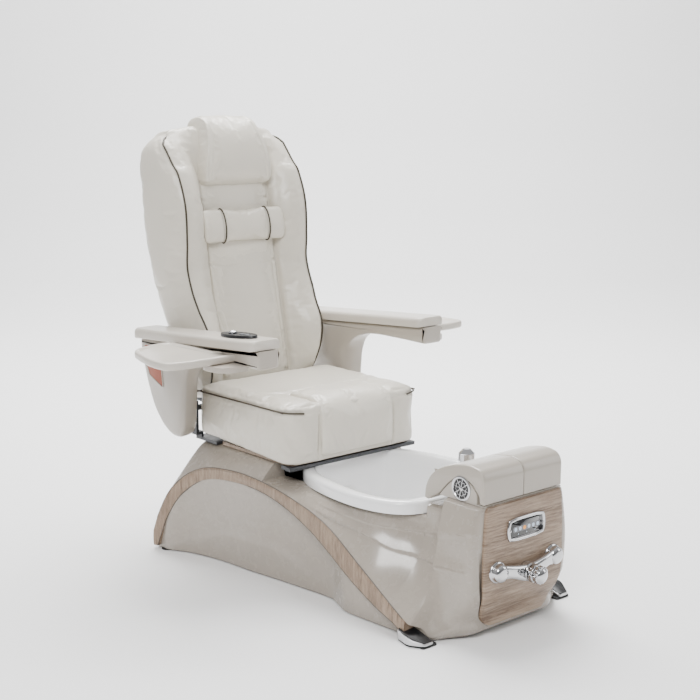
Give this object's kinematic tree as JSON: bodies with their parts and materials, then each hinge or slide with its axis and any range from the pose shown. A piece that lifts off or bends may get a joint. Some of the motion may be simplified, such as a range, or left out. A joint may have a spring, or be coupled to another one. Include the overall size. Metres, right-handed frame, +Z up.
{
  "type": "pedicure spa chair",
  "caption": "Pedicure spa chair: padded massage seat that slides and reclines on a tub base with a foot basin, flip-up footrest, mixer, hand shower, lifting arms and swing trays.",
  "frame": {"origin": "middle of the footprint, on the floor", "axes": "+Z up, -Y towards the technician (the mixer end), +X to the right as the technician sees it"},
  "size_m": [1.232, 1.6379, 1.424],
  "materials": {
    "shell_plastic": "warm light grey gel-coated shell, semi-gloss",
    "trim_plastic": "warm light grey moulded plastic, satin",
    "basin_acrylic": "white high-gloss acrylic",
    "chrome": "polished",
    "brushed": "brushed",
    "painted_steel": "satin dark grey powder coat",
    "zinc_steel": "zinc plated",
    "oak_laminate": "bleached grey oak laminate, matt",
    "black_rubber": "matt",
    "black_plastic": "fine texture",
    "screen_glass": "black touch glass",
    "white_plastic": "satin",
    "pipe_plastic": "grey pipe",
    "pump_body": "painted",
    "plywood": "raw plywood",
    "ivory_leather": "pearl ivory upholstery leather",
    "ivory_panel": "pearl ivory quilted leather",
    "terracotta": "reddish brown insert",
    "key_grey": "soft touch",
    "roller_plastic": "hard plastic"
  },
  "bodies": {
    "base": {"tub_shell": "shell_plastic", "basin": "basin_acrylic", "drain_fitting": "chrome", "jet_housing": "white_plastic", "jet_motor": "black_plastic", "front_panel": "oak_laminate", "arch_trim_left": "oak_laminate", "arch_trim_right": "oak_laminate", "foot_shoes": "brushed", "levelling_feet": "black_rubber", "steel_frame": "painted_steel", "seat_rails": "zinc_steel", "slide_motor": "black_plastic", "drain_pump": "pump_body", "pipework": "pipe_plastic", "control_box": "black_plastic", "display_bezel": "chrome", "display_screen": "screen_glass", "mixer_body": "chrome", "footrest_base": "shell_plastic", "footrest_pin": "zinc_steel", "footrest_caps": "chrome", "shower_holder": "chrome"},
    "stopper": {"drain_stopper": "chrome"},
    "impeller": {"jet_impeller": "black_plastic"},
    "temperature_control": {"temperature_ring": "chrome"},
    "flow_control": {"flow_knob": "chrome"},
    "footrest_left": {"footrest_left": "trim_plastic"},
    "footrest_right": {"footrest_right": "trim_plastic"},
    "hand_shower": {"hand_shower": "chrome"},
    "seat": {"seat_carriage": "painted_steel", "slide_rod": "zinc_steel", "seat_board": "plywood", "seat_cushion": "ivory_leather", "seat_front_pad": "ivory_panel", "recline_motor": "black_plastic"},
    "backrest": {"back_frame": "painted_steel", "back_shell": "ivory_leather", "back_cushion": "ivory_leather", "back_panel": "ivory_panel", "headrest": "ivory_leather", "rear_cover": "black_plastic", "massage_rails": "zinc_steel"},
    "massage_unit": {"massage_carriage": "painted_steel", "massage_motor": "black_plastic"},
    "roller_left": {"roller_arm_left": "roller_plastic"},
    "roller_right": {"roller_arm_right": "roller_plastic"},
    "neck_pillow": {"neck_pillow": "ivory_leather"},
    "arm_left": {"arm_left": "trim_plastic", "arm_pad_left": "trim_plastic", "purse_panel": "terracotta", "arm_control": "black_plastic"},
    "arm_right": {"arm_right": "trim_plastic", "arm_pad_right": "trim_plastic"},
    "purse_hook": {"purse_hook": "chrome"},
    "tray_left": {"tray_left": "trim_plastic"},
    "tray_right": {"tray_right": "trim_plastic"},
    "key_raise": {"key_raise": "key_grey"},
    "key_lower": {"key_lower": "key_grey"},
    "dial": {"control_dial": "chrome"}
  },
  "joints": [
    {"name": "seat_slide", "type": "slide", "parent": "base", "child": "seat", "axis": [0, -1, 0], "range_m": [-0.04, 0.1]},
    {"name": "back_recline", "type": "hinge", "parent": "seat", "child": "backrest", "pos_m": [0, 0.47, 0.47], "axis": [-1, 0, 0], "range_deg": [0, 28]},
    {"name": "arm_left_lift", "type": "hinge", "parent": "seat", "child": "arm_left", "pos_m": [0, 0.47, 0.47], "axis": [-1, 0, 0], "range_deg": [0, 80]},
    {"name": "arm_right_lift", "type": "hinge", "parent": "seat", "child": "arm_right", "pos_m": [0, 0.47, 0.47], "axis": [-1, 0, 0], "range_deg": [0, 80]},
    {"name": "tray_left_swing", "type": "hinge", "parent": "arm_left", "child": "tray_left", "pos_m": [-0.432, 0.112, 0.7], "axis": [0, 0, 1], "range_deg": [0, 95]},
    {"name": "tray_right_swing", "type": "hinge", "parent": "arm_right", "child": "tray_right", "pos_m": [0.432, 0.112, 0.7], "axis": [0, 0, -1], "range_deg": [0, 95]},
    {"name": "purse_hook_fold", "type": "hinge", "parent": "arm_left", "child": "purse_hook", "pos_m": [-0.374, 0.538, 0.632], "axis": [0, 1, 0], "range_deg": [0, 70]},
    {"name": "key_raise_press", "type": "slide", "parent": "arm_left", "child": "key_raise", "axis": [0, -0.0628, -0.998], "range_m": [0, 0.0018], "stiffness_N_per_m": 300},
    {"name": "key_lower_press", "type": "slide", "parent": "arm_left", "child": "key_lower", "axis": [0, -0.0628, -0.998], "range_m": [0, 0.0018], "stiffness_N_per_m": 300},
    {"name": "dial_turn", "type": "hinge", "parent": "arm_left", "child": "dial", "pos_m": [-0.34, 0.1462, 0.76508], "axis": [0, 0.0628, 0.998], "range_deg": [-135, 135]},
    {"name": "footrest_left_flip", "type": "hinge", "parent": "base", "child": "footrest_left", "pos_m": [0, -0.734, 0.401], "axis": [1, 0, 0], "range_deg": [0, 95]},
    {"name": "footrest_right_flip", "type": "hinge", "parent": "base", "child": "footrest_right", "pos_m": [0, -0.734, 0.401], "axis": [1, 0, 0], "range_deg": [0, 95]},
    {"name": "temperature_turn", "type": "hinge", "parent": "base", "child": "temperature_control", "pos_m": [0, -0.79, 0.18], "axis": [0, -1, 0], "range_deg": [-90, 90]},
    {"name": "flow_turn", "type": "hinge", "parent": "base", "child": "flow_control", "pos_m": [0, -0.81, 0.18], "axis": [0, -1, 0], "range_deg": [-90, 90]},
    {"name": "hand_shower_pull", "type": "slide", "parent": "base", "child": "hand_shower", "axis": [0, 0, 1], "range_m": [0, 0.1]},
    {"name": "stopper_lift", "type": "slide", "parent": "base", "child": "stopper", "axis": [0, 0, 1], "range_m": [0, 0.01]},
    {"name": "impeller_spin", "type": "hinge", "parent": "base", "child": "impeller", "pos_m": [0, 0.02, 0.215], "axis": [0, -1, 0], "continuous": true},
    {"name": "massage_travel", "type": "slide", "parent": "backrest", "child": "massage_unit", "axis": [0, 0.1908, 0.9816], "range_m": [-0.12, 0.3]},
    {"name": "knead_left", "type": "hinge", "parent": "massage_unit", "child": "roller_left", "pos_m": [0, 0.63663, 0.8451], "axis": [1, 0, 0], "range_deg": [-8, 8]},
    {"name": "knead_right", "type": "hinge", "parent": "massage_unit", "child": "roller_right", "pos_m": [0, 0.63663, 0.8451], "axis": [1, 0, 0], "range_deg": [-8, 8]},
    {"name": "neck_pillow_slide", "type": "slide", "parent": "backrest", "child": "neck_pillow", "axis": [0, 0.1908, 0.9816], "range_m": [-0.06, 0.05]}
  ],
  "couplings": [
    {"joint": "knead_right", "follows": "knead_left", "ratio": -1}
  ]
}
